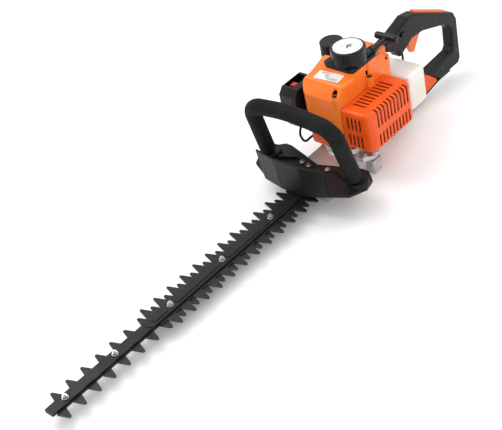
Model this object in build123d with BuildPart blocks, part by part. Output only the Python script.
"""Petrol hedge trimmer: long double-sided cutter, vertical-shaft two-stroke engine, loop and pistol handles.

Frame: +X runs along the cutter to its tip, +Y is the muffler side, +Z is up. The origin is on the underside of
the gearbox cover, straight below the crankshaft. All sizes are in millimetres.
"""

from build123d import *
from math import atan2, cos, degrees, hypot, pi, radians, sin, tan
import os

os.makedirs("parts", exist_ok=True)

# ---- driving dimensions -------------------------------------------------------------------------------------
PITCH = 35.0  # tooth pitch of both blades
THROW = PITCH / 4  # crank throw of the blade drive, so the blades pass each other by one pitch
BLADE_T = 2.6  # thickness of each blade
LOWER_Z = 24.0  # underside of the lower blade
UPPER_Z = LOWER_Z + BLADE_T + 0.2  # underside of the upper blade
BAR_Z = UPPER_Z + BLADE_T + 0.2  # underside of the ribbed bar
BAR_TOP = 36.0
FRONT_BAR_TOP = 31.8
TIP_X = 869.0  # front end of the cutter
JOIN_X = 612.0  # where the flat front bar meets the ribbed bar
BOLT_X = (830.0, 712.0, 572.0, 432.0, 292.0)
BOLT_R = 2.5
LOWER_TOOTH_Y = 36.0
UPPER_TOOTH_Y = 46.0

GEAR_X = 40.5  # axis of the reduction gear, ahead of the crankshaft
MODULE = 1.5
PINION_TEETH = 10
GEAR_TEETH = 44
ROD_END_X = 100.0  # blade pin at mid stroke
COVER_TOP = 12.8  # top of the gearbox cover
CASE_TOP = 63.0  # roof of the gear case
NOSE_TOP = 53.8
NOSE_X = 170.0
NOSE_HALF = 40.0
CHANNEL_HALF = 26.5
BEARING_R = 13.0
BEARING_H = 8.0
BELL_R = 30.4
BELL_TOP = 92.0

BORE_R = 20.0
CYL_Z = 119.0  # height of the cylinder's axis
PISTON_THROW = 9.0
ROD_LENGTH = 32.0
CASE_SPLIT = CYL_Z

COVER_Z = 106.0  # lower rim of the engine cover
COVER_TOP_Z = 206.0
WALL = 2.5
SKIRT_Z = 63.4  # underside of the lower housing

STARTER_R = 35.0
STARTER_TOP = 250.0
SEAT_TOP = 213.0  # top of the raised seat that the starter stands on
ROPE_Y = 20.0
ROPE_Z = 220.0

LOOP_TUBE_R = 11.0
LOOP_GRIP_R = 16.0
LOOP_FOOT = (157.0, 110.6, 66.0)
LOOP_LEAN = 13.7  # degrees that the loop leans forward

HANDLE_HALF = 14.0  # half thickness of the rear handle

GUARD_Z = 54.0  # underside of the guard's floor
GUARD_T = 6.0


def save(name, piece):
    """Label a finished piece and write it as its own file."""
    piece.part.label = name
    export_step(piece.part, f"parts/{name}.step")


def blade(base_z, spine_half, front_x, left, right, tip_y, root_half, tip_half, bolts):
    """A toothed blade: spine, tail with its drive hole, teeth on both edges and slots for the bolts."""
    tail_x = ROD_END_X - 10
    slot = 2 * THROW + 2 * BOLT_R + 1.0
    with BuildPart() as piece:
        with BuildSketch(Plane.XY.offset(base_z)) as plan:
            with Locations(((front_x + tail_x) / 2, 0)):
                Rectangle(front_x - tail_x, 2 * spine_half)
            with Locations((tail_x + 45, 0)):
                Rectangle(90, 40)
            for tips, side in ((left, -1), (right, 1)):
                for x in tips:
                    with BuildLine():
                        side_y = side * (spine_half - 1)
                        Polyline(
                            (x - root_half, side_y),
                            (x - tip_half, side * (tip_y - 1.5)),
                            (x - tip_half + 1.3, side * tip_y),
                            (x + tip_half - 1.3, side * tip_y),
                            (x + tip_half, side * (tip_y - 1.5)),
                            (x + root_half, side_y),
                            close=True,
                        )
                    make_face()
            with Locations((ROD_END_X, 0)):
                Circle(4.3, mode=Mode.SUBTRACT)
            with Locations(*[(x, 0) for x in bolts]):
                SlotOverall(slot, 2 * BOLT_R + 0.4, mode=Mode.SUBTRACT)
        extrude(amount=BLADE_T)
    return piece


# ---- cutter ---------------------------------------------------------------------------------------------------
lower_left = [834.0 - PITCH * i for i in range(19)]
lower_right = [851.5 - PITCH * i for i in range(19)]
upper_left = [JOIN_X - 5.5 - PITCH * i for i in range(12)]
upper_right = [JOIN_X - 23.0 - PITCH * i for i in range(12)]

lower_blade = blade(LOWER_Z, 13.0, TIP_X - 10, lower_left, lower_right, LOWER_TOOTH_Y, 10.5, 2.8, BOLT_X)
save("lower_blade", lower_blade)

upper_blade = blade(UPPER_Z, 17.0, JOIN_X + 1, upper_left, upper_right, UPPER_TOOTH_Y, 11.5, 2.4, BOLT_X[2:])
save("upper_blade", upper_blade)

with BuildPart() as front_spine_bar:
    front_len = TIP_X - JOIN_X - 11
    with BuildSketch(Plane.XY.offset(LOWER_Z + BLADE_T + 0.2)):
        with Locations((TIP_X - front_len / 2, 0)):
            RectangleRounded(front_len, 22, 3)
        with Locations(*[(x, 0) for x in BOLT_X[:2]]):
            Circle(BOLT_R + 0.05, mode=Mode.SUBTRACT)
    extrude(amount=FRONT_BAR_TOP - LOWER_Z - BLADE_T - 0.2)
save("front_spine_bar", front_spine_bar)

BAR_REAR_X = 128.0
with BuildPart() as rear_spine_bar:
    with BuildSketch(Plane.XY.offset(BAR_Z)):
        with Locations(((JOIN_X + 10 + BAR_REAR_X) / 2, 0)):
            Rectangle(JOIN_X + 10 - BAR_REAR_X, 26)
        with Locations((JOIN_X + 10, 0)):
            Circle(13)
    extrude(amount=BAR_TOP - 2.4 - BAR_Z)
    fillet(rear_spine_bar.edges().group_by(Axis.Z)[-1], 0.8)
    rib_spans = [(JOIN_X + 8, BOLT_X[2] + 11)]
    rib_spans += [(BOLT_X[i] - 11, BOLT_X[i + 1] + 11) for i in (2, 3)]
    rib_spans += [(BOLT_X[4] - 11, BAR_REAR_X)]
    with BuildSketch(Plane.XY.offset(BAR_TOP - 2.4)):
        for front, rear in rib_spans:
            with Locations(((front + rear) / 2, 2)):
                RectangleRounded(front - rear, 11, 3)
    extrude(amount=2.4, taper=18)
    with BuildSketch(Plane.XY.offset(BAR_Z)):
        with Locations((JOIN_X + 18, 0)):
            Rectangle(36, 40)
    extrude(amount=FRONT_BAR_TOP + 0.1 - BAR_Z, mode=Mode.SUBTRACT)
    with Locations(*[(x, 0, BAR_TOP) for x in BOLT_X[2:]]):
        Hole(BOLT_R + 0.05)
save("rear_spine_bar", rear_spine_bar)

NUT_H = 5.5
with BuildPart() as blade_bolts:
    for x in BOLT_X:
        bar_top = FRONT_BAR_TOP if x > JOIN_X else BAR_TOP - 2.4
        with Locations((x, 0, LOWER_Z - 0.2 - 4)):
            Cylinder(5.5, 4, align=(Align.CENTER, Align.CENTER, Align.MIN))
        with Locations((x, 0, LOWER_Z - 0.2)):
            Cylinder(BOLT_R, bar_top + NUT_H + 3.4 - LOWER_Z, align=(Align.CENTER, Align.CENTER, Align.MIN))
save("blade_bolts", blade_bolts)

with BuildPart() as blade_nuts:
    for x in BOLT_X:
        bar_top = FRONT_BAR_TOP if x > JOIN_X else BAR_TOP - 2.4
        with BuildSketch(Plane.XY.offset(bar_top)):
            with Locations((x, 0)):
                Circle(6.0)
                Circle(BOLT_R + 0.03, mode=Mode.SUBTRACT)
        extrude(amount=1.3)
        with BuildSketch(Plane.XY.offset(bar_top + 1.3)):
            with Locations((x, 0)):
                RegularPolygon(5.2, 6)
                Circle(BOLT_R + 0.03, mode=Mode.SUBTRACT)
        extrude(amount=NUT_H - 1.3)
save("blade_nuts", blade_nuts)


# ---- gearbox --------------------------------------------------------------------------------------------------
def case_plan(grow=0.0):
    """Plan of the gearbox: round over the gear and the pinion, with a straight nose towards the cutter."""
    with Locations((GEAR_X, 0)):
        Circle(50 + grow)
    Circle(BELL_R + grow)
    with Locations(((GEAR_X + NOSE_X) / 2, 0)):
        Rectangle(NOSE_X - GEAR_X, 2 * NOSE_HALF)


def lug_plan():
    """Plan of the two low flanges beside the gear, where the cover is screwed on."""
    with Locations((GEAR_X, 56), (GEAR_X, -56)):
        RectangleRounded(26, 24, 4)


LUG_TOP = 30.0
EAR_TOP = 52.0
EAR_SCREWS = ((46, 66), (64, 58))
GUARD_NUTS = ((152, -29), (156, -10), (150, 33))
SCREW_PLACES = [(GEAR_X, 62), (GEAR_X, -62), (-10, 22), (-10, -22), (150, 33), (150, -33), (100, 33), (100, -33)]

with BuildPart() as gearbox_housing:
    with BuildSketch(Plane.XY.offset(COVER_TOP + 0.2)):
        case_plan()
    extrude(amount=NOSE_TOP - COVER_TOP - 0.2)
    with BuildSketch(Plane.XY.offset(COVER_TOP + 0.2)):
        lug_plan()
    extrude(amount=LUG_TOP - COVER_TOP)
    # ear on the muffler side, with a round pad under each of its screws
    with BuildSketch(Plane.XY.offset(EAR_TOP - 12)):
        with BuildLine():
            Polyline((36, 40), (38, 72), (54, 74), (74, 60), (76, 30), close=True)
        make_face()
    extrude(amount=9)
    with Locations(*[(x, y, EAR_TOP - 12) for x, y in EAR_SCREWS]):
        Cylinder(7, 12, align=(Align.CENTER, Align.CENTER, Align.MIN))
        Cylinder(2.25, 14, align=(Align.CENTER, Align.CENTER, Align.MIN), mode=Mode.SUBTRACT)
    with BuildSketch(Plane.XY.offset(NOSE_TOP)):
        with Locations((GEAR_X, 0)):
            Circle(50)
        Circle(BELL_R)
    extrude(amount=CASE_TOP - NOSE_TOP, taper=12)
    with BuildSketch(Plane.XY.offset(CASE_TOP - 8)):
        Circle(BELL_R)
    extrude(amount=BELL_TOP - CASE_TOP + 8)
    with BuildSketch(Plane.XY.offset(CASE_TOP)):
        Circle(BELL_R - 2)
    extrude(amount=BELL_TOP - CASE_TOP, mode=Mode.SUBTRACT)
    # gear room, blade channel and pinion room, all open downwards
    with BuildSketch(Plane.XY.offset(COVER_TOP)):
        with Locations((GEAR_X, 0)):
            Circle(38)
    extrude(amount=51 - COVER_TOP, mode=Mode.SUBTRACT)
    with BuildSketch(Plane.XY.offset(COVER_TOP)):
        with Locations(((GEAR_X + 127) / 2, 0)):
            Rectangle(127 - GEAR_X, 2 * CHANNEL_HALF)
    extrude(amount=42 - COVER_TOP, mode=Mode.SUBTRACT)
    with BuildSketch(Plane.XY.offset(COVER_TOP)):
        with Locations(((127 + NOSE_X) / 2, 0)):
            Rectangle(NOSE_X - 127 + 2, 2 * CHANNEL_HALF)
    extrude(amount=BAR_TOP + 0.1 - COVER_TOP, mode=Mode.SUBTRACT)
    with BuildSketch(Plane.XY.offset(36)):
        Circle(12)
    extrude(amount=51 - 36, mode=Mode.SUBTRACT)
    # bearing seats and shaft holes in the roof
    with Locations((GEAR_X, 0, 53), (0, 0, 53)):
        Cylinder(BEARING_R, BEARING_H, align=(Align.CENTER, Align.CENTER, Align.MIN), mode=Mode.SUBTRACT)
    with Locations((GEAR_X, 0, 50), (0, 0, 50)):
        Cylinder(7, 4, align=(Align.CENTER, Align.CENTER, Align.MIN), mode=Mode.SUBTRACT)
    with Locations((0, 0, 60)):
        Cylinder(7, 4, align=(Align.CENTER, Align.CENTER, Align.MIN), mode=Mode.SUBTRACT)
    with Locations(*[(x, y, COVER_TOP) for x, y in SCREW_PLACES]):
        Cylinder(2.25, 18, align=(Align.CENTER, Align.CENTER, Align.MIN), mode=Mode.SUBTRACT)
    with Locations(*[(x, y, 43) for x, y in GUARD_NUTS]):
        Cylinder(2.95, 20, align=(Align.CENTER, Align.CENTER, Align.MIN), mode=Mode.SUBTRACT)
save("gearbox_housing", gearbox_housing)

with BuildPart() as gearbox_cover:
    with BuildSketch(Plane.XY):
        case_plan()
        lug_plan()
    extrude(amount=COVER_TOP)
    with Locations((GEAR_X, 0, 4)):
        Cylinder(BEARING_R, 9, align=(Align.CENTER, Align.CENTER, Align.MIN), mode=Mode.SUBTRACT)
    with Locations(*[(x, y, 0) for x, y in SCREW_PLACES]):
        Cylinder(4.2, 5, align=(Align.CENTER, Align.CENTER, Align.MIN), mode=Mode.SUBTRACT)
        Cylinder(2.3, COVER_TOP, align=(Align.CENTER, Align.CENTER, Align.MIN), mode=Mode.SUBTRACT)
save("gearbox_cover", gearbox_cover)

with BuildPart() as gearbox_screws:
    for x, y in SCREW_PLACES:
        with Locations((x, y, 1)):
            Cylinder(4, 4, align=(Align.CENTER, Align.CENTER, Align.MIN))
            Cylinder(2.2, 28, align=(Align.CENTER, Align.CENTER, Align.MIN))
        with BuildSketch(Plane.XY.offset(1)):
            with Locations((x, y)):
                RegularPolygon(2.2, 6)
        extrude(amount=2.4, mode=Mode.SUBTRACT)
    for x, y in EAR_SCREWS:
        with Locations((x, y, EAR_TOP)):
            Cylinder(4, 4, align=(Align.CENTER, Align.CENTER, Align.MIN))
        with Locations((x, y, EAR_TOP - 11)):
            Cylinder(2.2, 12, align=(Align.CENTER, Align.CENTER, Align.MIN))
        with BuildSketch(Plane.XY.offset(EAR_TOP + 1.6)):
            with Locations((x, y)):
                RegularPolygon(2.2, 6)
        extrude(amount=3, mode=Mode.SUBTRACT)
save("gearbox_screws", gearbox_screws)


def gear_outline(teeth, module):
    """Spur gear outline with straight-sided teeth at the given module."""
    pitch_r = teeth * module / 2
    tip_r = pitch_r + module * 0.95
    root_r = pitch_r - module * 1.2
    step = 2 * pi / teeth
    points = []
    for i in range(teeth):
        for share, radius in ((-0.34, root_r), (-0.225, pitch_r), (-0.11, tip_r),
                              (0.11, tip_r), (0.225, pitch_r), (0.34, root_r)):
            angle = (i + share) * step
            points.append((radius * cos(angle), radius * sin(angle)))
    return points


with BuildPart() as reduction_gear:
    with BuildSketch(Plane.XY.offset(41)):
        with Locations((GEAR_X, 0)):
            with BuildLine(mode=Mode.PRIVATE) as teeth_line:
                Polyline(*gear_outline(GEAR_TEETH, MODULE), close=True)
            add(make_face(teeth_line.edges(), mode=Mode.PRIVATE), rotation=180 / GEAR_TEETH)
            Circle(8.0, mode=Mode.SUBTRACT)
            with PolarLocations(20, 6):
                Circle(5, mode=Mode.SUBTRACT)
    extrude(amount=8)
save("reduction_gear", reduction_gear)

with BuildPart() as drive_pinion:
    with BuildSketch(Plane.XY.offset(40.5)):
        with BuildLine():
            Polyline(*gear_outline(PINION_TEETH, MODULE), close=True)
        make_face()
    extrude(amount=9)
    with Locations((0, 0, 38)):
        Cylinder(5.0, 31, align=(Align.CENTER, Align.CENTER, Align.MIN))
save("drive_pinion", drive_pinion)

with BuildPart() as eccentric_crank:
    with Locations((GEAR_X, 0, 4.2)):
        Cylinder(6.0, 11, align=(Align.CENTER, Align.CENTER, Align.MIN))
    with Locations((GEAR_X, -THROW, 15)):
        Cylinder(13.0, 5, align=(Align.CENTER, Align.CENTER, Align.MIN))
    with Locations((GEAR_X, 0, 20)):
        Cylinder(9.0, 14, align=(Align.CENTER, Align.CENTER, Align.MIN))
    with Locations((GEAR_X, THROW, 34)):
        Cylinder(13.0, 5, align=(Align.CENTER, Align.CENTER, Align.MIN))
    with Locations((GEAR_X, 0, 39)):
        Cylinder(8.0, 11, align=(Align.CENTER, Align.CENTER, Align.MIN))
        Cylinder(6.0, 22, align=(Align.CENTER, Align.CENTER, Align.MIN))
save("eccentric_crank", eccentric_crank)


def blade_rod(base_z, eye_y, pin_from, pin_to):
    """Connecting rod from an eccentric to the blade pin, with the pin's free end just clear of the blade."""
    dx, dy = ROD_END_X - GEAR_X, -eye_y
    length = hypot(dx, dy)
    heading = degrees(atan2(dy, dx))
    with BuildPart() as rod:
        with BuildSketch(Plane.XY.offset(base_z)):
            with Locations((GEAR_X, eye_y)):
                Circle(18)
            with Locations((ROD_END_X, 0)):
                Circle(7.6)
            with Locations(Location((GEAR_X + dx / 2, eye_y + dy / 2, 0), (0, 0, heading))):
                Rectangle(length, 11)
            with Locations((GEAR_X, eye_y)):
                Circle(13.06, mode=Mode.SUBTRACT)
        extrude(amount=4.6)
        with Locations((ROD_END_X, 0, pin_from)):
            Cylinder(4.0, pin_to - pin_from, align=(Align.CENTER, Align.CENTER, Align.MIN))
    return rod


upper_rod = blade_rod(34.2, THROW, UPPER_Z + BLADE_T + 0.3, 38.8)
save("upper_rod", upper_rod)
lower_rod = blade_rod(15.2, -THROW, 15.2, LOWER_Z - 0.3)
save("lower_rod", lower_rod)

MAIN_BEARING_Z = (95.0, 135.0)
with BuildPart() as ball_bearings:
    seats = [(GEAR_X, 4.0, 6.02), (GEAR_X, 53.0, 6.02), (0.0, 53.0, 5.02)]
    seats += [(0.0, z, 6.02) for z in MAIN_BEARING_Z]
    for x, z, bore in seats:
        with BuildSketch(Plane.XY.offset(z)):
            with Locations((x, 0)):
                Circle(BEARING_R - 0.02)
                Circle(bore, mode=Mode.SUBTRACT)
        extrude(amount=BEARING_H)
        for face_z in (z, z + BEARING_H - 0.8):
            with BuildSketch(Plane.XY.offset(face_z)):
                with Locations((x, 0)):
                    Circle(10.8)
                    Circle(8.2, mode=Mode.SUBTRACT)
            extrude(amount=0.8, mode=Mode.SUBTRACT)
save("ball_bearings", ball_bearings)

# ---- clutch ---------------------------------------------------------------------------------------------------
with BuildPart() as clutch_drum:
    with Locations((0, 0, 66)):
        Cylinder(27.2, 20, align=(Align.CENTER, Align.CENTER, Align.MIN))
    with Locations((0, 0, 69)):
        Cylinder(25, 17, align=(Align.CENTER, Align.CENTER, Align.MIN), mode=Mode.SUBTRACT)
    with Locations((0, 0, 66)):
        Cylinder(5.0, 3, align=(Align.CENTER, Align.CENTER, Align.MIN), mode=Mode.SUBTRACT)
    with PolarLocations(16, 6):
        Cylinder(3, 200, mode=Mode.SUBTRACT)
save("clutch_drum", clutch_drum)

with BuildPart() as clutch_hub:
    with BuildSketch(Plane.XY.offset(72)):
        Circle(9)
        Rectangle(26, 8)
        Circle(6.0, mode=Mode.SUBTRACT)
    extrude(amount=11)
save("clutch_hub", clutch_hub)

with BuildPart() as clutch_shoes:
    with BuildSketch(Plane.XY.offset(73)):
        Circle(24)
        Circle(13.4, mode=Mode.SUBTRACT)
        Rectangle(70, 10, mode=Mode.SUBTRACT)
    extrude(amount=9)
save("clutch_shoes", clutch_shoes)

# ---- engine ---------------------------------------------------------------------------------------------------
PIN_SPAN = 16.0
WEB_T = 6.0
web_low = CYL_Z - PIN_SPAN / 2 - WEB_T
web_high = CYL_Z + PIN_SPAN / 2
with BuildPart() as crankshaft:
    with Locations((0, 0, 71)):
        Cylinder(6.0, web_low - 71, align=(Align.CENTER, Align.CENTER, Align.MIN))
    with Locations((0, 0, web_low), (0, 0, web_high)):
        Cylinder(16.5, WEB_T, align=(Align.CENTER, Align.CENTER, Align.MIN))
    with Locations((PISTON_THROW, 0, web_low)):
        Cylinder(5.0, PIN_SPAN + 2 * WEB_T, align=(Align.CENTER, Align.CENTER, Align.MIN))
    with Locations((0, 0, web_high)):
        Cylinder(6.0, 18, align=(Align.CENTER, Align.CENTER, Align.MIN))
        Cylinder(5.0, 56, align=(Align.CENTER, Align.CENTER, Align.MIN))
save("crankshaft", crankshaft)

with BuildPart() as connecting_rod:
    with BuildSketch(Plane.XY.offset(CYL_Z - 6)):
        with Locations((PISTON_THROW, 0)):
            Circle(8.6)
        with Locations((PISTON_THROW + ROD_LENGTH, 0)):
            Circle(5.2)
    extrude(amount=12)
    with BuildSketch(Plane.XY.offset(CYL_Z - 3)):
        with Locations((PISTON_THROW + ROD_LENGTH / 2, 0)):
            Rectangle(ROD_LENGTH, 7)
    extrude(amount=6)
    with Locations((PISTON_THROW, 0, CYL_Z)):
        Cylinder(5.06, 20, mode=Mode.SUBTRACT)
    with Locations((PISTON_THROW + ROD_LENGTH, 0, CYL_Z)):
        Cylinder(2.8, 17)
save("connecting_rod", connecting_rod)

SMALL_END_X = PISTON_THROW + ROD_LENGTH
CROWN_X = SMALL_END_X + 5.2 + 2 * PISTON_THROW + 0.5 + 3.0
PISTON_LEN = CROWN_X - (SMALL_END_X - 5.0)
piston_plane = Plane(origin=(CROWN_X - PISTON_LEN, 0, CYL_Z), x_dir=(0, 1, 0), z_dir=(1, 0, 0))
with BuildPart() as piston:
    with BuildSketch(piston_plane):
        Circle(BORE_R - 0.06)
    extrude(amount=PISTON_LEN)
    with BuildSketch(piston_plane):
        Circle(BORE_R - 2.0)
    extrude(amount=PISTON_LEN - 3, mode=Mode.SUBTRACT)
    with BuildSketch(piston_plane):
        with Locations((0, 13.5), (0, -13.5)):
            Rectangle(12, 9)
        Circle(BORE_R - 1.0, mode=Mode.INTERSECT)
        Circle(9.0, mode=Mode.SUBTRACT)
    extrude(amount=12)
    for groove in (3.5, 7.0):
        with BuildSketch(piston_plane.offset(PISTON_LEN - groove - 1.4)):
            Circle(BORE_R + 1)
            Circle(BORE_R - 1.2, mode=Mode.SUBTRACT)
        extrude(amount=1.4, mode=Mode.SUBTRACT)
save("piston", piston)

CYL_FOOT_X = 28.0
HEAD_X = CROWN_X + 1.0
barrel_plane = Plane(origin=(CYL_FOOT_X, 0, CYL_Z), x_dir=(0, 1, 0), z_dir=(1, 0, 0))
FIN_COUNT = 7
with BuildPart() as cylinder:
    with BuildSketch(barrel_plane):
        Circle(BORE_R + 4)
    extrude(amount=HEAD_X + 4 - CYL_FOOT_X)
    with BuildSketch(barrel_plane):
        RectangleRounded(50, 50, 5)
    extrude(amount=4)
    for fin in range(FIN_COUNT):
        with BuildSketch(barrel_plane.offset(9 + fin * 5.8)):
            RectangleRounded(54, 52, 6)
        extrude(amount=1.8)
    with Locations((CYL_FOOT_X + 25, 0, CYL_Z)):
        Box(20, 66, 20)
    with BuildSketch(barrel_plane):
        Circle(BORE_R)
    extrude(amount=HEAD_X - CYL_FOOT_X, mode=Mode.SUBTRACT)
    with Locations(Location((CYL_FOOT_X + 25, 0, CYL_Z), (90, 0, 0))):
        Cylinder(7, 80, mode=Mode.SUBTRACT)
    with Locations((CROWN_X - 13, 0, CYL_Z + 22)):
        Cylinder(7, 10, align=(Align.CENTER, Align.CENTER, Align.MIN))
        Cylinder(5.1, 12, align=(Align.CENTER, Align.CENTER, Align.MIN), mode=Mode.SUBTRACT)
save("cylinder", cylinder)

PLUG_X = CROWN_X - 13
with BuildPart() as spark_plug:
    with Locations((PLUG_X, 0, CYL_Z + 22.2)):
        Cylinder(5.0, 10, align=(Align.CENTER, Align.CENTER, Align.MIN))
    with BuildSketch(Plane.XY.offset(CYL_Z + 32.2)):
        with Locations((PLUG_X, 0)):
            RegularPolygon(9, 6)
    extrude(amount=6)
    with Locations((PLUG_X, 0, CYL_Z + 38.2)):
        Cylinder(4.5, 16, align=(Align.CENTER, Align.CENTER, Align.MIN))
save("spark_plug", spark_plug)

with BuildPart() as plug_cap:
    with Locations((PLUG_X, 0, CYL_Z + 42)):
        Cylinder(8.5, 20, align=(Align.CENTER, Align.CENTER, Align.MIN))
        fillet(plug_cap.edges().group_by(Axis.Z)[-1], 4)
        Cylinder(4.6, 12.4, align=(Align.CENTER, Align.CENTER, Align.MIN), mode=Mode.SUBTRACT)
    with Locations(Location((PLUG_X - 6, 0, CYL_Z + 57), (0, -90, 0))):
        Cylinder(4.5, 12, align=(Align.CENTER, Align.CENTER, Align.MIN))
save("plug_cap", plug_cap)


def crankcase_body():
    """Solid outside of the crankcase: a drum round the shaft and a square pad for the cylinder."""
    with Locations((0, 0, BELL_TOP + 0.2)):
        Cylinder(27, 53.6, align=(Align.CENTER, Align.CENTER, Align.MIN))
        Cylinder(30.2, 1.6, align=(Align.CENTER, Align.CENTER, Align.MIN))
    with Locations((CYL_FOOT_X - 9.1, 0, CYL_Z)):
        Box(18, 52, 52)


def crankcase_rooms():
    """Room for the webs, the cylinder opening and the two bearing seats."""
    with Locations((0, 0, web_low - 1)):
        Cylinder(18.6, 2 * (CYL_Z - web_low + 1), align=(Align.CENTER, Align.CENTER, Align.MIN), mode=Mode.SUBTRACT)
    with Locations(Location((11, 0, CYL_Z), (0, 90, 0))):
        Cylinder(BORE_R + 0.5, 20, align=(Align.CENTER, Align.CENTER, Align.MIN), mode=Mode.SUBTRACT)
    with Locations((0, 0, MAIN_BEARING_Z[0]), (0, 0, MAIN_BEARING_Z[1])):
        Cylinder(BEARING_R, BEARING_H, align=(Align.CENTER, Align.CENTER, Align.MIN), mode=Mode.SUBTRACT)
    with Locations((0, 0, CYL_Z)):
        Cylinder(6.6, 90, mode=Mode.SUBTRACT)


with BuildPart() as crankcase_lower:
    crankcase_body()
    crankcase_rooms()
    split(bisect_by=Plane.XY.offset(CASE_SPLIT - 0.1), keep=Keep.BOTTOM)
save("crankcase_lower", crankcase_lower)

with BuildPart() as crankcase_upper:
    crankcase_body()
    crankcase_rooms()
    split(bisect_by=Plane.XY.offset(CASE_SPLIT + 0.1), keep=Keep.TOP)
save("crankcase_upper", crankcase_upper)

FAN_Z = 148.0
with BuildPart() as flywheel:
    with Locations((0, 0, FAN_Z)):
        Cylinder(29, 3, align=(Align.CENTER, Align.CENTER, Align.MIN))
        Cylinder(11, 20, align=(Align.CENTER, Align.CENTER, Align.MIN))
    with BuildSketch(Plane.XY.offset(FAN_Z + 3)):
        with PolarLocations(20, 14):
            Rectangle(15, 1.8, rotation=24)
    extrude(amount=15)
    with Locations((0, 0, FAN_Z + 20)):
        Cylinder(16, 12, align=(Align.CENTER, Align.CENTER, Align.MIN))
    with Locations((0, 0, FAN_Z + 23)):
        Cylinder(13, 12, align=(Align.CENTER, Align.CENTER, Align.MIN), mode=Mode.SUBTRACT)
    with Locations((0, 0, FAN_Z + 28)):
        with PolarLocations(16, 4):
            Box(8, 5, 9, mode=Mode.SUBTRACT)
    with Locations((0, 0, FAN_Z)):
        Cylinder(5.0, 60, mode=Mode.SUBTRACT)
save("flywheel", flywheel)

with BuildPart() as ignition_coil:
    with Locations((-48, 0, FAN_Z + 12)):
        Box(18, 24, 20)
    fillet(ignition_coil.edges().filter_by(Axis.Z), 3)
    with Locations((-34.5, 8, FAN_Z + 12), (-34.5, -8, FAN_Z + 12)):
        Box(9, 5, 8)
save("ignition_coil", ignition_coil)

MUFFLER_Y = 33.2
with BuildPart() as muffler:
    with Locations((13, 64, CYL_Z + 1)):
        Box(112, 56, 62)
    fillet(muffler.edges().filter_by(Axis.Y), 12)
    fillet(muffler.faces().sort_by(Axis.Y)[-1].edges(), 5)
    with Locations((CYL_FOOT_X + 25, (MUFFLER_Y + 37) / 2, CYL_Z)):
        Box(20, 37 - MUFFLER_Y, 20)
    with Locations(Location((CYL_FOOT_X + 25, 45, CYL_Z), (90, 0, 0))):
        Cylinder(7, 40, mode=Mode.SUBTRACT)
save("muffler", muffler)

# ---- covers ---------------------------------------------------------------------------------------------------
COVER_PLAN = ((87, -60), (45, -65), (-4, -78), (-16, -76), (-18, -48), (-92, -36), (-92, 22), (-74, 33), (87, 33))
SKIRT_PLAN = ((85, -60), (-88, -60), (-88, 33), (85, 33))
COVER_FRONT = COVER_PLAN[0][0]
FRONT_RUN = 17.0  # how far back the sloping front of the cover reaches at its top
FRONT_DROP = 28.0  # and how far below the top it starts
CORNER_STEP = (-66.0, 15.0, 186.0)  # inner corner of the step round the rear screw
POCKETS = ((79, 18.7), (-8, 36.2), (-74, 24.7))
POCKET_FLOOR = 182.0
POCKET_RIM = 186.5
POCKET_FOOT = 164.4

BASE_PLAN = ((24, -46), (34, -32), (36, 22), (31, 33), (-40, 33), (-48, 26), (-48, -34), (-38, -40))
BASE_SCREWS = ((23, -37), (29, 28), (-41, 2), (-36, -33))
BASE_T = 6.0
BASE_Z = SEAT_TOP + 0.1
CAP_Z = BASE_Z + BASE_T + 0.1
OUTLET_R = 9.5
OUTLET_X = -60.0


def outlet_notch():
    """Clearance under the rope outlet, which runs out over the edge of the seat and the base."""
    with Locations(Location((-18, ROPE_Y, ROPE_Z), (0, -90, 0))):
        Cylinder(OUTLET_R + 0.4, 60, align=(Align.CENTER, Align.CENTER, Align.MIN), mode=Mode.SUBTRACT)


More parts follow.
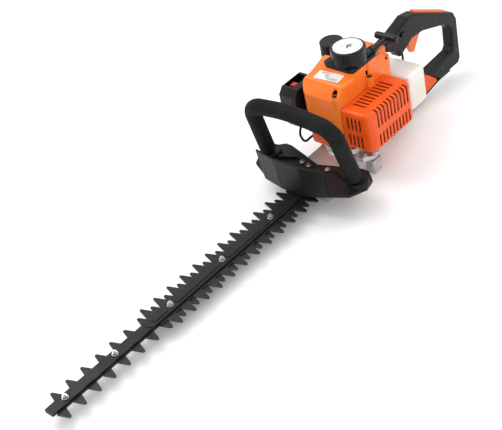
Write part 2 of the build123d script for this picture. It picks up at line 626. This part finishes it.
with BuildPart() as engine_cover:
    with BuildSketch(Plane.XY.offset(COVER_Z)):
        with BuildLine():
            Polyline(*COVER_PLAN, close=True)
        make_face()
    extrude(amount=COVER_TOP_Z - COVER_Z)
    slope_back = COVER_FRONT - FRONT_RUN
    slope_foot = COVER_TOP_Z - FRONT_DROP * (FRONT_RUN + 3) / FRONT_RUN
    with BuildSketch(Plane.XZ.offset(100)):
        with BuildLine():
            Polyline((slope_back, COVER_TOP_Z), (slope_back, COVER_TOP_Z + 5), (COVER_FRONT + 3, COVER_TOP_Z + 5),
                     (COVER_FRONT + 3, slope_foot), close=True)
        make_face()
    extrude(amount=-200, mode=Mode.SUBTRACT)
    with Locations(CORNER_STEP):
        Box(60, 60, 60, align=(Align.MAX, Align.MIN, Align.MIN), mode=Mode.SUBTRACT)
    upright = engine_cover.edges().filter_by(Axis.Z)
    fillet(upright.sort_by(Axis.X)[-2:], 14)
    fillet(engine_cover.edges().group_by(Axis.Z)[-1], 6)
    offset(amount=-WALL, openings=engine_cover.faces().sort_by(Axis.Z)[0])
    # raised, hollow seat for the starter
    with BuildSketch(Plane.XY.offset(COVER_TOP_Z - 9)):
        with BuildLine():
            Polyline(*BASE_PLAN, close=True)
        make_face()
    extrude(amount=SEAT_TOP - COVER_TOP_Z + 9)
    with BuildSketch(Plane.XY.offset(COVER_TOP_Z - 10)):
        with BuildLine():
            Polyline(*BASE_PLAN, close=True)
        make_face()
        offset(amount=-4, mode=Mode.REPLACE)
    extrude(amount=12, mode=Mode.SUBTRACT)
    with Locations((0, 0, COVER_TOP_Z - 10)):
        Cylinder(30, 30, align=(Align.CENTER, Align.CENTER, Align.MIN), mode=Mode.SUBTRACT)
    outlet_notch()
    with Locations(*[(x, y, POCKET_FOOT) for x, y in POCKETS]):
        Cylinder(8.2, POCKET_RIM - POCKET_FOOT, align=(Align.CENTER, Align.CENTER, Align.MIN))
    with Locations(*[(x, y, POCKET_FLOOR) for x, y in POCKETS]):
        Cylinder(6.4, 40, align=(Align.CENTER, Align.CENTER, Align.MIN), mode=Mode.SUBTRACT)
    with Locations(*[(x, y, SEAT_TOP - 12) for x, y in BASE_SCREWS]):
        Cylinder(5, 12, align=(Align.CENTER, Align.CENTER, Align.MIN))
        Cylinder(2.1, 20, align=(Align.CENTER, Align.CENTER, Align.MIN), mode=Mode.SUBTRACT)
    with Locations(*[(x, y, POCKET_FLOOR - 10) for x, y in POCKETS]):
        Cylinder(2.1, 12, align=(Align.CENTER, Align.CENTER, Align.MIN), mode=Mode.SUBTRACT)
    with Locations((CYL_FOOT_X + 25, 32, CYL_Z - 2)):
        Box(24, 20, 30, mode=Mode.SUBTRACT)
    with Locations((CYL_FOOT_X + 25, -66, CYL_Z - 2)):
        Box(34, 30, 30, mode=Mode.SUBTRACT)
save("engine_cover", engine_cover)

with BuildPart() as lower_housing:
    with BuildSketch(Plane.XY.offset(SKIRT_Z)):
        with BuildLine():
            Polyline(*SKIRT_PLAN, close=True)
        make_face()
    extrude(amount=COVER_Z - 0.3 - SKIRT_Z)
    fillet(lower_housing.edges().filter_by(Axis.Z), 12)
    fillet(lower_housing.edges().group_by(Axis.Z)[0], 1.2)
    offset(amount=-WALL, openings=lower_housing.faces().sort_by(Axis.Z)[-1])
    with Locations((0, 0, SKIRT_Z)):
        Cylinder(BELL_R + 0.6, 8, mode=Mode.SUBTRACT)
save("lower_housing", lower_housing)

GUARD_BOX = ((-58.0, 34.2, 76.0), (85.0, 101.0, 164.0))
SLOT_W = 5.2
SLOT_PITCH = 10.6
(gx0, gy0, gz0), (gx1, gy1, gz1) = GUARD_BOX
with BuildPart() as muffler_guard:
    with Locations(((gx0 + gx1) / 2, (gy0 + gy1) / 2, (gz0 + gz1) / 2)):
        Box(gx1 - gx0, gy1 - gy0, gz1 - gz0)
    fillet(muffler_guard.edges().filter_by(Axis.Z).group_by(Axis.Y)[-1], 20)
    fillet(muffler_guard.edges().group_by(Axis.Z)[-1].sort_by(Axis.Y)[1:], 7)
    fillet(muffler_guard.edges().group_by(Axis.Z)[0].sort_by(Axis.Y)[1:], 10)
    offset(amount=-WALL, openings=muffler_guard.faces().sort_by(Axis.Y)[0])
    # slots: one row in the top, a row that wraps over the outer edge, and lower rows in the side and the front
    for i in range(9):
        with Locations((gx1 - 27 - SLOT_PITCH * i, gy0 + 24, gz1)):
            Box(SLOT_W, 32, 12, mode=Mode.SUBTRACT)
    for i in range(10):
        with Locations((gx1 - 26 - SLOT_PITCH * i, gy1 - 2, gz1 - 16)):
            Box(SLOT_W, 18, 44, mode=Mode.SUBTRACT)
        with Locations((gx1 - 26 - SLOT_PITCH * i, gy1, gz0 + 22)):
            Box(SLOT_W, 12, 26, mode=Mode.SUBTRACT)
    for i in range(4):
        with Locations((gx1, gy0 + 12 + 9.5 * i, gz1 - 28), (gx1, gy0 + 12 + 9.5 * i, gz0 + 22)):
            Box(12, SLOT_W, 28, mode=Mode.SUBTRACT)
save("muffler_guard", muffler_guard)

# ---- recoil starter -------------------------------------------------------------------------------------------
with BuildPart() as starter_base:
    with BuildSketch(Plane.XY.offset(BASE_Z)):
        with BuildLine():
            Polyline(*BASE_PLAN, close=True)
        make_face()
        Circle(29, mode=Mode.SUBTRACT)
    extrude(amount=BASE_T)
    outlet_notch()
    with Locations(*[(x, y, BASE_Z) for x, y in BASE_SCREWS]):
        Cylinder(2.1, 20, mode=Mode.SUBTRACT)
    with Locations(*[(x, y, BASE_Z + 3.4) for x, y in BASE_SCREWS]):
        Cylinder(4.8, 10, align=(Align.CENTER, Align.CENTER, Align.MIN), mode=Mode.SUBTRACT)
save("starter_base", starter_base)

screw_seats = [(x, y, POCKET_FLOOR) for x, y in POCKETS]
screw_seats += [(x, y, BASE_Z + 3.5) for x, y in BASE_SCREWS]
with BuildPart() as cover_screws:
    with Locations(*screw_seats):
        Cylinder(4.6, 3.4, align=(Align.CENTER, Align.CENTER, Align.MIN))
    with Locations(*[(x, y, z - 8) for x, y, z in screw_seats]):
        Cylinder(2.0, 8.2, align=(Align.CENTER, Align.CENTER, Align.MIN))
    for x, y, z in screw_seats:
        with BuildSketch(Plane.XY.offset(z + 1.4)):
            with Locations((x, y)):
                RegularPolygon(2.4, 6)
        extrude(amount=4, mode=Mode.SUBTRACT)
save("cover_screws", cover_screws)

PULLEY_R = 24.0
ROPE_R = 2.0
with BuildPart() as starter_cap:
    with Locations((0, 0, CAP_Z)):
        Cylinder(STARTER_R, STARTER_TOP - CAP_Z, align=(Align.CENTER, Align.CENTER, Align.MIN))
    fillet(starter_cap.edges().group_by(Axis.Z)[-1], 3)
    with Locations(Location((-20, ROPE_Y, ROPE_Z), (0, -90, 0))):
        Cylinder(8.0, -20 - OUTLET_X - 8, align=(Align.CENTER, Align.CENTER, Align.MIN))
    with Locations(Location((OUTLET_X + 20, ROPE_Y, ROPE_Z), (0, -90, 0))):
        Cylinder(OUTLET_R, 10, align=(Align.CENTER, Align.CENTER, Align.MIN))
    with Locations(Location((OUTLET_X + 8, ROPE_Y, ROPE_Z), (0, -90, 0))):
        Cylinder(6.8, 8, align=(Align.CENTER, Align.CENTER, Align.MIN))
    with Locations((0, 0, COVER_TOP_Z)):
        Cylinder(STARTER_R - WALL, STARTER_TOP - COVER_TOP_Z - 3, align=(Align.CENTER, Align.CENTER, Align.MIN),
                 mode=Mode.SUBTRACT)
    with Locations(Location((-20, ROPE_Y, ROPE_Z), (0, -90, 0))):
        Cylinder(ROPE_R + 1, 60, align=(Align.CENTER, Align.CENTER, Align.MIN), mode=Mode.SUBTRACT)
    with Locations((0, 0, 216)):
        Cylinder(5.0, STARTER_TOP - 218, align=(Align.CENTER, Align.CENTER, Align.MIN))
    with Locations((0, 0, STARTER_TOP - 1)):
        Cylinder(29.6, 3, align=(Align.CENTER, Align.CENTER, Align.MIN), mode=Mode.SUBTRACT)
save("starter_cap", starter_cap)

with BuildPart() as starter_badge:
    with Locations((0, 0, STARTER_TOP - 1)):
        Cylinder(29.5, 1.4, align=(Align.CENTER, Align.CENTER, Align.MIN))
    fillet(starter_badge.edges().group_by(Axis.Z)[-1], 0.5)
save("starter_badge", starter_badge)

with BuildPart() as starter_pulley:
    with Locations((0, 0, 214)):
        Cylinder(PULLEY_R, 14, align=(Align.CENTER, Align.CENTER, Align.MIN))
    with BuildSketch(Plane.XY.offset(216.5)):
        Circle(PULLEY_R + 1)
        Circle(PULLEY_R - 8, mode=Mode.SUBTRACT)
    extrude(amount=9, mode=Mode.SUBTRACT)
    with Locations((0, 0, 190)):
        Cylinder(12, 25, align=(Align.CENTER, Align.CENTER, Align.MIN))
    with Locations((0, 0, 180)):
        Cylinder(5.06, 60, align=(Align.CENTER, Align.CENTER, Align.MIN), mode=Mode.SUBTRACT)
    with Locations((0, 0, 196)):
        with PolarLocations(15, 2):
            Box(10, 6, 4)
save("starter_pulley", starter_pulley)

SPIRAL_TURNS = 5
SPIRAL_IN = 7.5
SPIRAL_STEP = 3.4


def spiral_points(shift):
    """Points along one edge of the spiral strip."""
    count = SPIRAL_TURNS * 12
    points = []
    for i in range(count + 1):
        radius = SPIRAL_IN + shift + SPIRAL_STEP * i / 12
        points.append((radius * cos(i * pi / 6), radius * sin(i * pi / 6)))
    return points


with BuildPart() as recoil_spring:
    with BuildSketch(Plane.XY.offset(230)):
        with BuildLine():
            inner = Spline(*spiral_points(0))
            outer = Spline(*spiral_points(0.9))
            Line(inner @ 0, outer @ 0)
            Line(inner @ 1, outer @ 1)
        make_face()
    extrude(amount=9)
save("recoil_spring", recoil_spring)

GRIP_X = -94.0
NECK_LEN = OUTLET_X - 0.6 - GRIP_X  # the neck of the grip ends just short of the rope outlet
with BuildPart() as starter_rope:
    for turn in range(2):
        with BuildSketch(Plane.XZ):
            with Locations((PULLEY_R - 5.6, 218.6 + turn * 2 * ROPE_R * 0.98)):
                Circle(ROPE_R * 0.96)
        revolve(axis=Axis.Z)
save("starter_rope", starter_rope)

with BuildPart() as starter_grip:
    with Locations(Location((GRIP_X, ROPE_Y, ROPE_Z + 3), (90, 0, 0))):
        Cylinder(7.5, 52)
    fillet(starter_grip.edges(), 4)
    with Locations(Location((GRIP_X, ROPE_Y, ROPE_Z), (0, 90, 0))):
        Cylinder(5.5, NECK_LEN, align=(Align.CENTER, Align.CENTER, Align.MIN))
    with Locations(Location((GRIP_X + 8, ROPE_Y, ROPE_Z), (0, 90, 0))):
        Cylinder(ROPE_R + 0.05, NECK_LEN, align=(Align.CENTER, Align.CENTER, Align.MIN), mode=Mode.SUBTRACT)
save("starter_grip", starter_grip)

# ---- intake side ----------------------------------------------------------------------------------------------
PORT_X = CYL_FOOT_X + 25
with BuildPart() as carburettor:
    with Locations((PORT_X, -47.6, CYL_Z)):
        Box(26, 29, 24)
    fillet(carburettor.edges().filter_by(Axis.Y), 4)
    with Locations(Location((PORT_X, -33.1, CYL_Z), (90, 0, 0))):
        Cylinder(7, 40, align=(Align.CENTER, Align.CENTER, Align.MIN), mode=Mode.SUBTRACT)
    with Locations((PORT_X, -48, CYL_Z - 16)):
        Cylinder(8, 10)
save("carburettor", carburettor)

BOX_X = (30.0, 98.0)
BOX_Y = (-114.0, -68.0)
BOX_TOP = 181.0
with BuildPart() as air_filter_box:
    with BuildSketch(Plane.XZ.offset(80)):
        with BuildLine():
            Polyline((BOX_X[0], 104), (BOX_X[0], BOX_TOP), (BOX_X[1] - 12, BOX_TOP), (BOX_X[1], BOX_TOP - 14),
                     (BOX_X[1], 104), (BOX_X[1] - 14, 92), (BOX_X[0] + 12, 92), close=True)
        make_face()
    extrude(amount=-10.2)
    with Locations(Location((PORT_X, -60, CYL_Z), (90, 0, 0))):
        Cylinder(7, 40, mode=Mode.SUBTRACT)
save("air_filter_box", air_filter_box)

PRIMER = (53.4, -96.0, 76.0)  # centre of the primer bulb, in the flat underside of the filter cover
PRIMER_R = 6.2
WELL_FLOOR = 148.0
FILTER_OUTLINE = ((30, 100), (30, 181), (86, 181), (98, 167), (98, 106), (84, 88), (62, 76), (44, 76))
with BuildPart() as air_filter_cover:
    with BuildSketch(Plane.XZ.offset(114)):
        with BuildLine():
            Polyline(*FILTER_OUTLINE, close=True)
        make_face()
    extrude(amount=-33.8)
    fillet(air_filter_cover.faces().sort_by(Axis.Y)[0].edges(), 5)
    with BuildSketch(Plane.XZ.offset(111.5)):
        with BuildLine():
            Polyline(*FILTER_OUTLINE, close=True)
        make_face()
        offset(amount=-WALL, mode=Mode.REPLACE)
    extrude(amount=-36, mode=Mode.SUBTRACT)
    # open well in the top, with a floor that the choke lever stands over
    with Locations((59, -97, BOX_TOP)):
        Box(46, 24, 12, mode=Mode.SUBTRACT)
    with Locations((63.5, -96.5, WELL_FLOOR)):
        Box(64, 31, 3, align=(Align.CENTER, Align.CENTER, Align.MAX))
    with Locations(PRIMER):
        Cylinder(PRIMER_R + 0.3, 12, mode=Mode.SUBTRACT)
save("air_filter_cover", air_filter_cover)

CHOKE_PIVOT = (66.0, -96.0, WELL_FLOOR + 6)
with BuildPart() as choke_lever:
    with Locations(Location(CHOKE_PIVOT, (90, 0, 0))):
        Cylinder(5, 10)
    with Locations((CHOKE_PIVOT[0], CHOKE_PIVOT[1], CHOKE_PIVOT[2] + 10)):
        Box(5, 9, 20)
    with Locations((CHOKE_PIVOT[0], CHOKE_PIVOT[1], CHOKE_PIVOT[2] + 21)):
        Box(12, 12, 6)
    fillet(choke_lever.edges().group_by(Axis.Z)[-1], 1.5)
save("choke_lever", choke_lever)

with BuildPart() as primer_bulb:
    with Locations(PRIMER):
        Sphere(PRIMER_R)
        Box(30, 30, 30, align=(Align.CENTER, Align.CENTER, Align.MIN), mode=Mode.SUBTRACT)
        Cylinder(PRIMER_R, WALL + 1, align=(Align.CENTER, Align.CENTER, Align.MIN))
    with Locations((PRIMER[0], PRIMER[1], PRIMER[2] + WALL + 0.2)):
        Cylinder(PRIMER_R + 1.1, 2, align=(Align.CENTER, Align.CENTER, Align.MIN))
save("primer_bulb", primer_bulb)

# ---- fuel -----------------------------------------------------------------------------------------------------
NECK = (-52.0, -88.0)
with BuildPart() as fuel_tank:
    with Locations((-124.5, 6, 95)):
        Box(62, 108, 82)
    fillet(fuel_tank.edges().filter_by(Axis.Z), 12)
    fillet(fuel_tank.edges().group_by(Axis.Z)[-1], 8)
    fillet(fuel_tank.edges().group_by(Axis.Z)[0], 8)
    with Locations((-110, -75, 98)):
        Box(32, 62, 60)
    with Locations((-79, -85, 136)):
        Box(94, 42, 72)
    fillet(fuel_tank.edges().filter_by(Axis.Z).sort_by(Axis.Y)[:2], 10)
    with Locations((NECK[0], NECK[1], 170)):
        Cylinder(17, 18, align=(Align.CENTER, Align.CENTER, Align.MIN))
    # room for fuel, joined through the filler neck
    with Locations((-124.5, 6, 95)):
        Box(56, 100, 74, mode=Mode.SUBTRACT)
    with Locations((-110, -75, 98)):
        Box(26, 64, 54, mode=Mode.SUBTRACT)
    with Locations((-79, -85, 136)):
        Box(88, 36, 66, mode=Mode.SUBTRACT)
    with Locations((NECK[0], NECK[1], 160)):
        Cylinder(13, 40, align=(Align.CENTER, Align.CENTER, Align.MIN), mode=Mode.SUBTRACT)
save("fuel_tank", fuel_tank)

with BuildPart() as fuel_cap:
    with BuildSketch(Plane.XY.offset(177)):
        with Locations(NECK):
            Circle(24.5)
            with PolarLocations(25.4, 24):
                Circle(2.0, mode=Mode.SUBTRACT)
    extrude(amount=37)
    fillet(fuel_cap.edges().group_by(Axis.Z)[-1], 2)
    with Locations((NECK[0], NECK[1], 176)):
        Cylinder(17.1, 13, align=(Align.CENTER, Align.CENTER, Align.MIN), mode=Mode.SUBTRACT)
    with Locations((NECK[0], NECK[1], 184)):
        Cylinder(12.9, 6, align=(Align.CENTER, Align.CENTER, Align.MIN))
save("fuel_cap", fuel_cap)

# ---- guard and loop handle --------------------------------------------------------------------------------------
APRON_X = 221.0  # front of the apron at the floor, between its two bends
APRON_BEND_Y = 31.0
APRON_END_Y = 82.0
APRON_SWEEP = 10.0  # how far the outer facets lie back at their ends
APRON_LEAN = 7.0  # degrees
APRON_T = 4.0
APRON_Z = (44.0, 119.0)
GUARD_HALF_PLAN = ((141, 0), (124, 52), (113, 88), (112, 104), (132, 128), (158, 134), (192, 118),
                   (APRON_X - APRON_SWEEP - 2, APRON_END_Y + 2), (APRON_X - 2, APRON_BEND_Y), (APRON_X - 2, 0))
foot_x, foot_y, foot_z = LOOP_FOOT
loop_plane = Plane(origin=(foot_x, 0, foot_z), x_dir=(0, 1, 0),
                   z_dir=(cos(radians(LOOP_LEAN)), 0, -sin(radians(LOOP_LEAN))))
LOOP_POINTS = ((-foot_y, -11), (-102, 139), (0, 154), (102, 139), (foot_y, -11))
LOOP_RADII = [36, 300, 36]
loop_start = loop_plane.from_local_coords(LOOP_POINTS[1]) - loop_plane.from_local_coords(LOOP_POINTS[0])
with BuildPart() as guard:
    with BuildSketch(Plane.XY.offset(GUARD_Z)):
        with BuildLine():
            Polyline(*GUARD_HALF_PLAN)
            mirror(about=Plane.XZ)
        make_face()
    extrude(amount=GUARD_T)
    with BuildSketch(Plane.XY.offset(GUARD_Z + GUARD_T)):
        with Locations((foot_x - 4, foot_y), (foot_x - 4, -foot_y)):
            Circle(23)
    extrude(amount=9, taper=12)
    with BuildSketch(Plane.XY.offset(GUARD_Z + GUARD_T)):
        with Locations(Location((150, 66, 0), (0, 0, 68)), Location((150, -66, 0), (0, 0, -68))):
            RectangleRounded(44, 6, 2.9)
    extrude(amount=6)
    # front apron: three facets that lean forward, cut away below towards both ends
    lean = tan(radians(APRON_LEAN))
    apron_low, apron_high = APRON_Z
    apron_foot = APRON_X - lean * (GUARD_Z + GUARD_T - apron_low)
    with BuildSketch(Plane.XY.offset(apron_low)) as apron_plan:
        with BuildLine():
            Polyline((apron_foot - APRON_SWEEP, APRON_END_Y), (apron_foot, APRON_BEND_Y),
                     (apron_foot, -APRON_BEND_Y), (apron_foot - APRON_SWEEP, -APRON_END_Y),
                     (apron_foot - APRON_SWEEP - APRON_T, -APRON_END_Y), (apron_foot - APRON_T, -APRON_BEND_Y),
                     (apron_foot - APRON_T, APRON_BEND_Y), (apron_foot - APRON_SWEEP - APRON_T, APRON_END_Y),
                     close=True)
        make_face()
    extrude(apron_plan.sketch, amount=(apron_high - apron_low) / cos(radians(APRON_LEAN)), dir=(lean, 0, 1))
    with BuildSketch(Plane.YZ.offset(APRON_X - 40)):
        with BuildLine():
            Polyline((APRON_BEND_Y, apron_low - 1), (APRON_END_Y + 1, apron_low - 1),
                     (APRON_END_Y + 1, GUARD_Z), (APRON_BEND_Y, apron_low), close=True)
        make_face()
        mirror(about=Plane.XZ)
    extrude(amount=80, mode=Mode.SUBTRACT)
    with Locations(*[(x, y, GUARD_Z) for x, y in GUARD_NUTS]):
        Cylinder(2.95, 20, mode=Mode.SUBTRACT)
    # sockets that take the feet of the loop
    with BuildLine(loop_plane):
        FilletPolyline(*LOOP_POINTS, radius=LOOP_RADII)
    with BuildSketch(Plane(loop_plane.from_local_coords(LOOP_POINTS[0]), z_dir=loop_start)):
        Circle(LOOP_TUBE_R + 0.02)
    sweep(mode=Mode.SUBTRACT)
save("guard", guard)

with BuildPart() as loop_tube:
    with BuildLine(loop_plane):
        FilletPolyline(*LOOP_POINTS, radius=LOOP_RADII)
    with BuildSketch(Plane(loop_plane.from_local_coords(LOOP_POINTS[0]), z_dir=loop_start)):
        Circle(LOOP_TUBE_R)
        Circle(LOOP_TUBE_R - 2, mode=Mode.SUBTRACT)
    sweep()
save("loop_tube", loop_tube)

GRIP_FROM = 0.15  # share of the first leg that stays bare
sleeve_foot = tuple(LOOP_POINTS[0][i] + GRIP_FROM * (LOOP_POINTS[1][i] - LOOP_POINTS[0][i]) for i in (0, 1))
SLEEVE_POINTS = (sleeve_foot, *LOOP_POINTS[1:4], (-sleeve_foot[0], sleeve_foot[1]))
with BuildPart() as loop_grip:
    with BuildLine(loop_plane):
        FilletPolyline(*SLEEVE_POINTS, radius=LOOP_RADII)
    with BuildSketch(Plane(loop_plane.from_local_coords(sleeve_foot), z_dir=loop_start)):
        Circle(LOOP_GRIP_R)
        Circle(LOOP_TUBE_R + 0.02, mode=Mode.SUBTRACT)
    sweep()
save("loop_grip", loop_grip)

with BuildPart() as guard_nuts:
    for x, y in GUARD_NUTS:
        with BuildSketch(Plane.XY.offset(GUARD_Z + GUARD_T + 0.1)):
            with Locations((x, y)):
                RegularPolygon(5.6, 6)
        extrude(amount=5)
        with Locations((x, y, GUARD_Z + GUARD_T + 5)):
            Cylinder(3, 3, align=(Align.CENTER, Align.CENTER, Align.MIN))
        with Locations((x, y, 44)):
            Cylinder(2.9, 17, align=(Align.CENTER, Align.CENTER, Align.MIN))
save("guard_nuts", guard_nuts)

# ---- rear handle ----------------------------------------------------------------------------------------------
HANDLE = ((-94, 203), (-120, 206), (-150, 214), (-176, 222), (-204, 217), (-333, 150), (-341, 134), (-342, 38),
          (-333, 26), (-264, 26), (-252, 34), (-221, 61), (-311, 66), (-317, 73), (-318, 118),
          (-300, 138), (-222, 165), (-184, 168), (-160, 157), (-141, 149), (-128, 168), (-94, 184))
GRIP_FRONT = (-204.0, 217.0)
GRIP_REAR = (-333.0, 150.0)
GRIP_SLOPE = degrees(atan2(GRIP_FRONT[1] - GRIP_REAR[1], GRIP_FRONT[0] - GRIP_REAR[0]))
HANDLE_WALL = 3.2
HANDLE_SCREWS = ((-108, 194), (-262, 165), (-330, 60), (-276, 45))
TRIGGER_PIVOT = (-198.0, 187.0)
SWITCH = (-152.0, 196.0)


def on_grip_back(along, height):
    """Location on the back of the grip, measured from its front end and square to its slope."""
    slope = radians(GRIP_SLOPE)
    x = GRIP_FRONT[0] - along * cos(slope) - height * sin(slope)
    z = GRIP_FRONT[1] - along * sin(slope) + height * cos(slope)
    return Location((x, 0, z), (0, -GRIP_SLOPE, 0))


def handle_half(side):
    """One moulded half of the rear handle: split on the centre plane, hollow, with screw bosses."""
    plane = Plane.XZ.offset(-0.05 * side)
    with BuildPart() as half:
        with BuildSketch(plane):
            with BuildLine():
                Polyline(*HANDLE, close=True)
            make_face()
        extrude(amount=-side * (HANDLE_HALF - 0.05))
        fillet(half.faces().sort_by(Axis.Y)[-1 if side > 0 else 0].edges(), 6)
        with BuildSketch(plane):
            with BuildLine():
                Polyline(*HANDLE, close=True)
            make_face()
            offset(amount=-HANDLE_WALL, kind=Kind.INTERSECTION, mode=Mode.REPLACE)
        extrude(amount=-side * (HANDLE_HALF - HANDLE_WALL - 0.05), mode=Mode.SUBTRACT)
        with Locations(*[(x, side * 6.5, z) for x, z in HANDLE_SCREWS]):
            Box(10, 12.9, 10)
        for x, z in HANDLE_SCREWS:
            with Locations(Location((x, 0, z), (90, 0, 0))):
                Cylinder(2.1, 60, mode=Mode.SUBTRACT)
            if side > 0:
                with Locations(Location((x, 12.5, z), (90, 0, 0))):
                    Cylinder(4.8, 4, mode=Mode.SUBTRACT)
        with Locations((-206, 0, 161)):
            Box(62, 11.6, 26, mode=Mode.SUBTRACT)
        with Locations(on_grip_back(62, 0)):
            Box(118, 16.4, 12, mode=Mode.SUBTRACT)
        if side > 0:
            with Locations((SWITCH[0], 12, SWITCH[1])):
                Box(15, 8, 5, mode=Mode.SUBTRACT)
    return half


rear_handle_left = handle_half(1)
save("rear_handle_left", rear_handle_left)
rear_handle_right = handle_half(-1)
save("rear_handle_right", rear_handle_right)

with BuildPart() as handle_screws:
    for x, z in HANDLE_SCREWS:
        with Locations(Location((x, 12.4, z), (90, 0, 0))):
            Cylinder(4.6, 3)
            Cylinder(2.0, 22, align=(Align.CENTER, Align.CENTER, Align.MIN))
        with Locations(Location((x, 13.5, z), (90, 0, 0))):
            Cylinder(2.2, 2, mode=Mode.SUBTRACT)
save("handle_screws", handle_screws)

with BuildPart() as throttle_trigger:
    with BuildSketch(Plane.XZ):
        with BuildLine():
            Polyline((-190, 193), (-180, 182), (-178, 166), (-181, 148), (-188, 131), (-196, 131), (-209, 148),
                     (-221, 162), (-229, 171), (-214, 184), (-204, 193), close=True)
        make_face()
    extrude(amount=5, both=True)
    fillet(throttle_trigger.edges().filter_by(GeomType.LINE).filter_by(Axis.Y, reverse=True)
           .group_by(Axis.X)[-1], 1.5)
    with Locations(Location((TRIGGER_PIVOT[0], 0, TRIGGER_PIVOT[1]), (90, 0, 0))):
        Cylinder(3, 21)
save("throttle_trigger", throttle_trigger)

with BuildPart() as lock_lever:
    with Locations(on_grip_back(62, 1.5)):
        Box(112, 15, 6)
    fillet(lock_lever.edges(), 1.6)
    with Locations(on_grip_back(12, -5)):
        Box(10, 8, 11)
    with Locations(on_grip_back(12, -8) * Location((0, 0, 0), (90, 0, 0))):
        Cylinder(2.5, 21)
save("lock_lever", lock_lever)

with BuildPart() as stop_switch:
    with Locations((SWITCH[0], 13.2, SWITCH[1])):
        Box(7, 4.4, 4.4)
    with Locations((SWITCH[0], 15.9, SWITCH[1])):
        Box(11, 3.4, 8)
    fillet(stop_switch.edges().group_by(Axis.Y)[-1], 1)
save("stop_switch", stop_switch)

with BuildPart() as rear_bracket:
    with BuildSketch(Plane.XZ):
        with BuildLine():
            Polyline((-251.3, 32.8), (-252.2, 25.8), (-172, 13.6), (-159, 16), (-157.5, 42), (-200, 50),
                     (-222, 58.4), close=True)
        make_face()
    extrude(amount=11, both=True)
    fillet(rear_bracket.edges().filter_by(Axis.Y).group_by(Axis.X)[-1], 4)
    with Locations((-205, 0, 30)):
        Cylinder(2.1, 60, mode=Mode.SUBTRACT)
save("rear_bracket", rear_bracket)

STRAP_ROUTE = ((-304, 23.2), (-260, 23.2), (-172, 9.6), (-112, 7), (-92, 15), (-80, 52), (-68, 60.8), (-44, 60.8))
with BuildPart() as support_strap:
    with BuildSketch(Plane.XZ):
        with BuildLine():
            FilletPolyline(*STRAP_ROUTE, radius=6)
        trace(line_width=4)
    extrude(amount=10, both=True)
save("support_strap", support_strap)

CABLE_ROUTE = ((92, -74, 98), (103, -71, 86), (97, -67, 64), (60, -73, 59), (12, -74, 58),
               (-38, -73, 57), (-88, -66, 50), (-132, -48, 45), (-166, -27, 56), (-174, -13, 92),
               (-168, -5, 126), (-163, -2, 154.5))


def bend_radii(route):
    """Largest arc at each inner point that the runs on both sides leave room for."""
    radii = []
    for before, here, after in zip(route, route[1:], route[2:]):
        run_in = Vector(*here) - Vector(*before)
        run_out = Vector(*after) - Vector(*here)
        turn = radians(run_in.get_angle(run_out))
        radii.append(0.45 * min(run_in.length, run_out.length) / tan(turn / 2))
    return radii


cable_radii = bend_radii(CABLE_ROUTE)
print("cable bend radii", [round(radius, 1) for radius in cable_radii])
with BuildPart() as throttle_cable:
    with BuildLine():
        cable_line = FilletPolyline(*CABLE_ROUTE, radius=cable_radii)
    with BuildSketch(Plane(CABLE_ROUTE[0], z_dir=Vector(*CABLE_ROUTE[1]) - Vector(*CABLE_ROUTE[0]))):
        Circle(2.4)
    sweep()
print("cable volume ratio", round(throttle_cable.part.volume / (pi * 2.4 ** 2 * cable_line.length), 4))
save("throttle_cable", throttle_cable)
